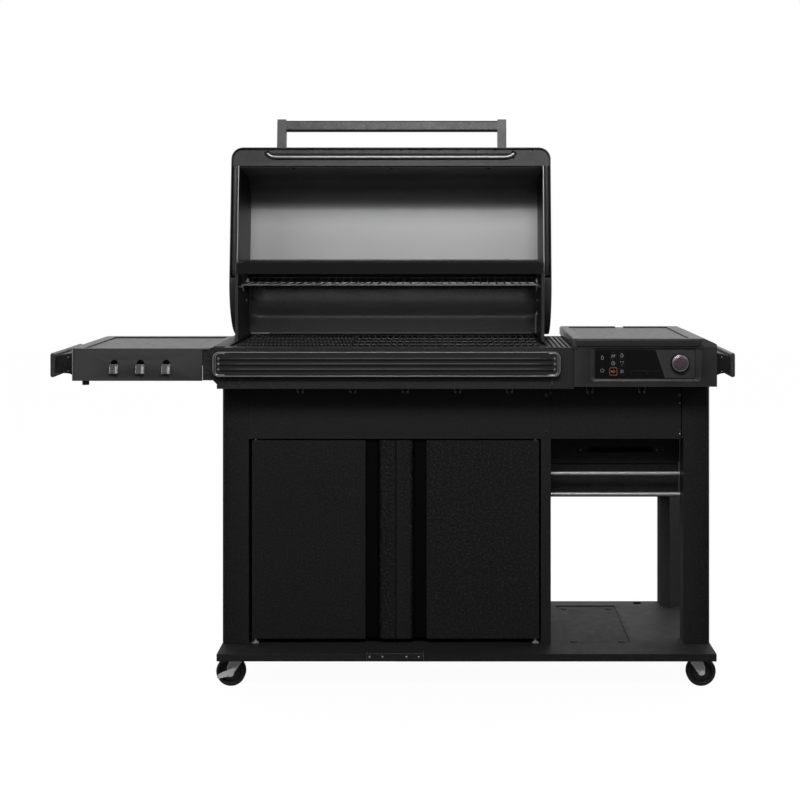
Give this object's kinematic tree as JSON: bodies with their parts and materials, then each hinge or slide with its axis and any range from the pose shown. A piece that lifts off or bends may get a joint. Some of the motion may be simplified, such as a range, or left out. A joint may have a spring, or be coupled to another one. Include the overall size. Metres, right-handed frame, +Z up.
{
  "type": "pellet smoker grill",
  "caption": "Barrel pellet smoker on a wheeled cabinet, lid raised, with grates, a side shelf, cupboard doors, a pellet hopper and a control console with a display and dial.",
  "frame": {"origin": "middle of the bounding box at floor level, with the lid raised", "axes": "+X to the user's right as they face the front, +Y from the front to the back, +Z up"},
  "size_m": [1.778, 0.6364, 1.4846],
  "materials": {
    "black_textured": "textured powder coat",
    "door_black": "smooth satin powder coat",
    "lid_enamel": "satin black enamel",
    "chamber_enamel": "porcelain enamel with a fine speckle",
    "liner_steel": "satin",
    "zinc_steel": "zinc plated",
    "bright_steel": "polished",
    "rail_dark": "dark anodised with bright edges",
    "handle_dark": "satin charcoal",
    "shelf_charcoal": "fine textured charcoal",
    "hopper_charcoal": "satin moulded",
    "grate_enamel": "black porcelain enamel",
    "rack_wire": "heat darkened wire",
    "fire_steel": "heat stained",
    "inner_steel": "plain",
    "display_black": "gloss black",
    "knob_metal": "spun",
    "socket_plastic": "matte",
    "wheel_black": "matte"
  },
  "bodies": {
    "frame": {"base_deck_left": "black_textured", "base_deck_right": "black_textured", "deck_joint_plate": "black_textured", "front_legs": "black_textured", "rear_legs": "black_textured", "side_panels": "black_textured", "divider_wall": "black_textured", "back_panels": "black_textured", "front_aprons": "black_textured", "bin_rails": "bright_steel", "door_hinge_pins": "zinc_steel", "front_fascia": "black_textured", "accessory_clips": "black_textured", "front_rail": "rail_dark", "cook_chamber": "chamber_enamel", "chamber_hood": "chamber_enamel", "lid_hinge_pins": "zinc_steel", "chamber_trim": "black_textured", "vent_grille": "rail_dark", "exhaust_cover": "black_textured", "fire_pot": "fire_steel", "temperature_probe": "bright_steel", "side_shelf": "shelf_charcoal", "shelf_hooks": "bright_steel", "side_handles": "handle_dark", "hopper_housing": "hopper_charcoal", "hopper_bin": "inner_steel", "power_inlet": "socket_plastic", "auger_tube": "inner_steel", "auger_motor": "inner_steel", "blower_housing": "inner_steel", "console_housing": "hopper_charcoal", "display_panel": "display_black", "caster_plates": "zinc_steel", "panel_screws": "zinc_steel"},
    "lid": {"lid_shell": "lid_enamel", "lid_liner": "liner_steel", "lid_front_panel": "lid_enamel", "lid_handle": "handle_dark"},
    "door_left": {"door_left": "door_black"},
    "door_right": {"door_right": "door_black"},
    "hopper_lid": {"hopper_lid": "shelf_charcoal"},
    "knob": {"control_knob": "knob_metal"},
    "grate_left": {"cooking_grate_left": "grate_enamel"},
    "grate_right": {"cooking_grate_right": "grate_enamel"},
    "warming_rack": {"warming_rack": "rack_wire"},
    "drip_tray": {"drip_tray": "fire_steel"},
    "heat_baffle": {"heat_baffle": "fire_steel"},
    "auger": {"auger_screw": "inner_steel"},
    "blower_wheel": {"blower_wheel": "inner_steel"},
    "caster_fl": {"caster_fork_fl": "zinc_steel"},
    "wheel_fl": {"caster_wheel_fl": "wheel_black"},
    "caster_fr": {"caster_fork_fr": "zinc_steel"},
    "wheel_fr": {"caster_wheel_fr": "wheel_black"},
    "caster_rl": {"caster_fork_rl": "zinc_steel"},
    "wheel_rl": {"caster_wheel_rl": "wheel_black"},
    "caster_rr": {"caster_fork_rr": "zinc_steel"},
    "wheel_rr": {"caster_wheel_rr": "wheel_black"},
    "brake_front": {"brake_lever_front": "zinc_steel"},
    "brake_rear": {"brake_lever_rear": "zinc_steel"}
  },
  "joints": [
    {"name": "lid_hinge", "type": "hinge", "parent": "frame", "child": "lid", "pos_m": [-0.013, 0.10077, 1.029], "axis": [1, 0, 0], "range_deg": [0, 97]},
    {"name": "door_left_hinge", "type": "hinge", "parent": "frame", "child": "door_left", "pos_m": [-0.361, -0.19623, 0.366], "axis": [0, 0, -1], "range_deg": [0, 110]},
    {"name": "door_right_hinge", "type": "hinge", "parent": "frame", "child": "door_right", "pos_m": [0.373, -0.19623, 0.366], "axis": [0, 0, 1], "range_deg": [0, 110]},
    {"name": "hopper_lid_hinge", "type": "hinge", "parent": "frame", "child": "hopper_lid", "pos_m": [0.647, 0.17377, 0.884], "axis": [-1, 0, 0], "range_deg": [0, 80]},
    {"name": "knob_turn", "type": "hinge", "parent": "frame", "child": "knob", "pos_m": [0.7355, -0.30323, 0.838], "axis": [0, -1, 0], "continuous": true},
    {"name": "grate_left_lift", "type": "slide", "parent": "frame", "child": "grate_left", "axis": [0, 0, 1], "range_m": [0, 0.025]},
    {"name": "grate_right_lift", "type": "slide", "parent": "frame", "child": "grate_right", "axis": [0, 0, 1], "range_m": [0, 0.025]},
    {"name": "rack_slide", "type": "slide", "parent": "frame", "child": "warming_rack", "axis": [0, -1, 0], "range_m": [0, 0.1]},
    {"name": "drip_tray_lift", "type": "slide", "parent": "frame", "child": "drip_tray", "axis": [0, 0, 1], "range_m": [0, 0.04]},
    {"name": "baffle_lift", "type": "slide", "parent": "frame", "child": "heat_baffle", "axis": [0, 0, 1], "range_m": [0, 0.025]},
    {"name": "auger_turn", "type": "hinge", "parent": "frame", "child": "auger", "pos_m": [0.4, -0.00023, 0.7], "axis": [1, 0, 0], "continuous": true},
    {"name": "blower_turn", "type": "hinge", "parent": "frame", "child": "blower_wheel", "pos_m": [0.44, 0.12677, 0.7], "axis": [1, 0, 0], "continuous": true},
    {"name": "swivel_fl", "type": "hinge", "parent": "frame", "child": "caster_fl", "pos_m": [-0.395, -0.25323, 0.08], "axis": [0, 0, 1], "continuous": true},
    {"name": "roll_fl", "type": "hinge", "parent": "caster_fl", "child": "wheel_fl", "pos_m": [-0.417, -0.25323, 0.038], "axis": [0, 1, 0], "continuous": true},
    {"name": "swivel_fr", "type": "hinge", "parent": "frame", "child": "caster_fr", "pos_m": [0.775, -0.25323, 0.08], "axis": [0, 0, 1], "continuous": true},
    {"name": "roll_fr", "type": "hinge", "parent": "caster_fr", "child": "wheel_fr", "pos_m": [0.797, -0.25323, 0.038], "axis": [0, 1, 0], "continuous": true},
    {"name": "swivel_rl", "type": "hinge", "parent": "frame", "child": "caster_rl", "pos_m": [-0.395, 0.19277, 0.08], "axis": [0, 0, 1], "continuous": true},
    {"name": "roll_rl", "type": "hinge", "parent": "caster_rl", "child": "wheel_rl", "pos_m": [-0.417, 0.19277, 0.038], "axis": [0, 1, 0], "continuous": true},
    {"name": "swivel_rr", "type": "hinge", "parent": "frame", "child": "caster_rr", "pos_m": [0.775, 0.19277, 0.08], "axis": [0, 0, 1], "continuous": true},
    {"name": "roll_rr", "type": "hinge", "parent": "caster_rr", "child": "wheel_rr", "pos_m": [0.797, 0.19277, 0.038], "axis": [0, 1, 0], "continuous": true},
    {"name": "brake_front_pedal", "type": "hinge", "parent": "caster_fl", "child": "brake_front", "pos_m": [-0.417, -0.25323, 0.038], "axis": [0, 1, 0], "range_deg": [0, 18]},
    {"name": "brake_rear_pedal", "type": "hinge", "parent": "caster_rl", "child": "brake_rear", "pos_m": [-0.417, 0.19277, 0.038], "axis": [0, 1, 0], "range_deg": [0, 18]}
  ]
}
